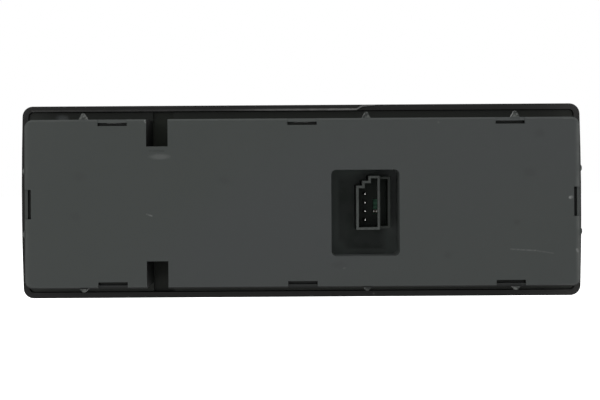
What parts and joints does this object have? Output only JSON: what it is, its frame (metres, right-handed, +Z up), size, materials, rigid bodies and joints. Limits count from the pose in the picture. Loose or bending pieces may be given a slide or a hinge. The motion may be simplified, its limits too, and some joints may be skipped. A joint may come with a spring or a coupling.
{
  "type": "power window switch",
  "caption": "Long flat switch module with rocking window keys, a lock key and a lock-out button in a bezel, with a clipped rear cover and a recessed connector.",
  "frame": {"origin": "centre of the plane in which the bezel's rim seats on the panel", "axes": "+X along the module, to the right as seen from behind; +Z up; -Y out of the rear cover, and +Y towards the driver, out of the keys"},
  "size_m": [0.1662, 0.0271, 0.057],
  "materials": {
    "cover_plastic": "moulded dark grey plastic, fine matt spark texture",
    "bezel_plastic": "black moulded plastic, satin, fine grain",
    "carrier_plastic": "black glass-filled plastic, semi-matt",
    "key_plastic": "soft-touch black paint over clear plastic",
    "header_plastic": "black moulded plastic, satin",
    "pin_metal": "tin-plated brass",
    "board_laminate": "glass-epoxy laminate under green solder mask",
    "screw_steel": "zinc-plated steel",
    "mat_silicone": "translucent grey silicone rubber",
    "pill_carbon": "carbon-filled rubber",
    "guide_clear": "clear polished plastic",
    "lamp_white": "white moulded lamp body",
    "package_black": "black moulding compound",
    "can_aluminium": "drawn aluminium can",
    "capacitor_ceramic": "fired ceramic between tinned ends",
    "resistor_ceramic": "glazed ceramic between tinned ends"
  },
  "bodies": {
    "housing": {"rear_cover": "cover_plastic", "front_bezel": "bezel_plastic", "key_carrier": "carrier_plastic", "circuit_board": "board_laminate", "connector_header": "header_plastic", "board_screws": "screw_steel", "key_mat": "mat_silicone", "contact_pills": "pill_carbon", "indicator_light_guide": "guide_clear", "microcontroller": "package_black", "bus_transceiver": "package_black", "voltage_regulator": "package_black", "filter_capacitor": "can_aluminium", "protection_diode": "package_black", "chip_capacitors": "capacitor_ceramic", "chip_resistors": "resistor_ceramic", "backlight_leds": "lamp_white", "terminal_pin_1": "pin_metal", "terminal_pin_2": "pin_metal", "terminal_pin_3": "pin_metal", "terminal_pin_4": "pin_metal"},
    "window_rocker_front_left": {"window_rocker_front_left": "key_plastic"},
    "window_rocker_front_right": {"window_rocker_front_right": "key_plastic"},
    "window_rocker_rear_left": {"window_rocker_rear_left": "key_plastic"},
    "window_rocker_rear_right": {"window_rocker_rear_right": "key_plastic"},
    "lock_rocker": {"lock_rocker": "key_plastic"},
    "lockout_button": {"lockout_button": "key_plastic"}
  },
  "joints": [
    {"name": "window_front_left_swing", "type": "hinge", "parent": "housing", "child": "window_rocker_front_left", "pos_m": [-0.06375, 0.0006, 0], "axis": [1, 0, 0], "range_deg": [-7, 7], "stiffness_Nm_per_rad": 0.15, "deforming": ["key_mat"]},
    {"name": "window_front_right_swing", "type": "hinge", "parent": "housing", "child": "window_rocker_front_right", "pos_m": [-0.03825, 0.0006, 0], "axis": [1, 0, 0], "range_deg": [-7, 7], "stiffness_Nm_per_rad": 0.15, "deforming": ["key_mat"]},
    {"name": "window_rear_left_swing", "type": "hinge", "parent": "housing", "child": "window_rocker_rear_left", "pos_m": [-0.01275, 0.0006, 0], "axis": [1, 0, 0], "range_deg": [-7, 7], "stiffness_Nm_per_rad": 0.15, "deforming": ["key_mat"]},
    {"name": "window_rear_right_swing", "type": "hinge", "parent": "housing", "child": "window_rocker_rear_right", "pos_m": [0.01275, 0.0006, 0], "axis": [1, 0, 0], "range_deg": [-7, 7], "stiffness_Nm_per_rad": 0.15, "deforming": ["key_mat"]},
    {"name": "lock_rocker_swing", "type": "hinge", "parent": "housing", "child": "lock_rocker", "pos_m": [0.03825, 0.0006, 0], "axis": [1, 0, 0], "range_deg": [-7, 7], "stiffness_Nm_per_rad": 0.15, "deforming": ["key_mat"]},
    {"name": "lockout_press", "type": "slide", "parent": "housing", "child": "lockout_button", "axis": [0, -1, 0], "range_m": [0, 0.001], "stiffness_N_per_m": 1500, "deforming": ["key_mat"]}
  ]
}
